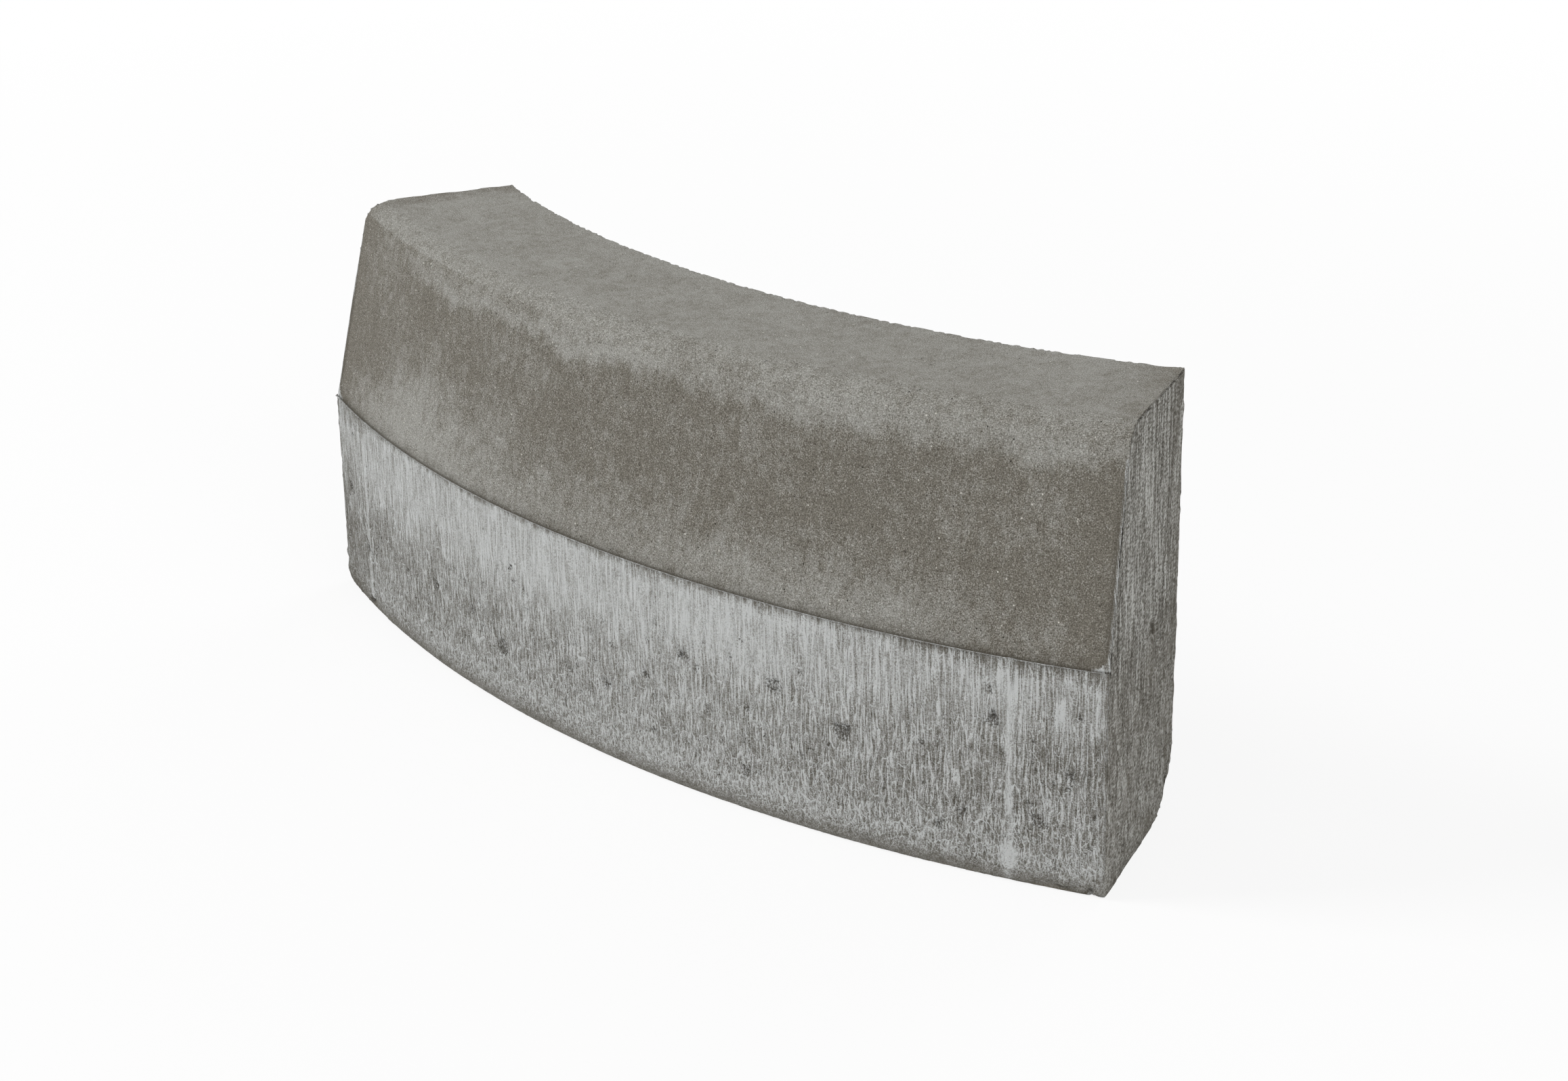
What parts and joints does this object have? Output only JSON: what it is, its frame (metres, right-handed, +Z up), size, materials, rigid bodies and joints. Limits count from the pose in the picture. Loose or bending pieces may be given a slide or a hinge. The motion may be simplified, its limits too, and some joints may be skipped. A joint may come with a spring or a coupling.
{
  "type": "curved concrete kerb stone",
  "caption": "Radius kerb stone of dry-pressed concrete, convex to the road, with a splayed upper face, rounded nose and upright lower wall, for edging a bend.",
  "frame": {"origin": "on the base plane, under the middle of the stone's overall box", "axes": "+Z up from the base; -Y is the road side that the convex face looks to; +X runs along the chord, to the right as seen from the road"},
  "size_m": [0.7604, 0.2138, 0.3],
  "materials": {
    "concrete": "dry-pressed grey concrete, sandy on the pressed top and splayed face, drag-marked with lime bloom on the mould-formed walls"
  },
  "bodies": {
    "root": {"kerb_stone": "concrete"}
  },
  "joints": []
}
